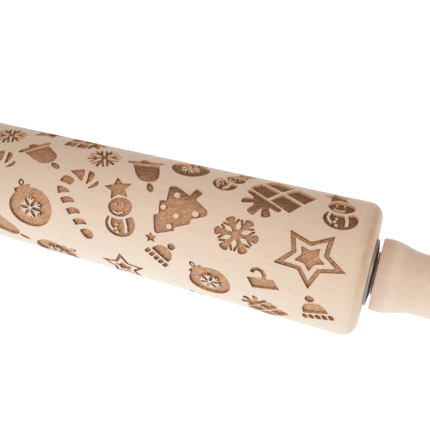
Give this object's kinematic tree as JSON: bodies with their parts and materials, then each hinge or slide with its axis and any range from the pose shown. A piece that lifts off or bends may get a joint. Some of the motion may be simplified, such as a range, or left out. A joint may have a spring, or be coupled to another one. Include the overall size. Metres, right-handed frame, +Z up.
{
  "type": "embossed rolling pin",
  "caption": "Wooden rolling pin with an engraved barrel that turns on a steel axle between two screwed-on turned handles.",
  "frame": {"origin": "on the surface the pin lies on, under the middle of the barrel", "axes": "+X along the axle, towards the right handle; +Z up"},
  "size_m": [0.43, 0.0598, 0.0597],
  "materials": {
    "barrel_wood": "sanded pale beech with burnt-brown engraving",
    "handle_wood": "sanded pale beech",
    "collar_metal": "satin grey with a bright rim",
    "axle_steel": "drawn bright bar",
    "bearing_nylon": "natural nylon",
    "insert_brass": "turned brass"
  },
  "bodies": {
    "barrel": {"barrel": "barrel_wood", "left_collar": "collar_metal", "right_collar": "collar_metal", "left_bearing": "bearing_nylon", "right_bearing": "bearing_nylon"},
    "handles": {"axle": "axle_steel", "left_washer": "axle_steel", "right_washer": "axle_steel", "left_insert": "insert_brass", "right_insert": "insert_brass", "left_handle": "handle_wood", "right_handle": "handle_wood"}
  },
  "joints": [
    {"name": "handle_spin", "type": "hinge", "parent": "barrel", "child": "handles", "pos_m": [0, 0, 0.02986], "axis": [1, 0, 0], "continuous": true}
  ]
}
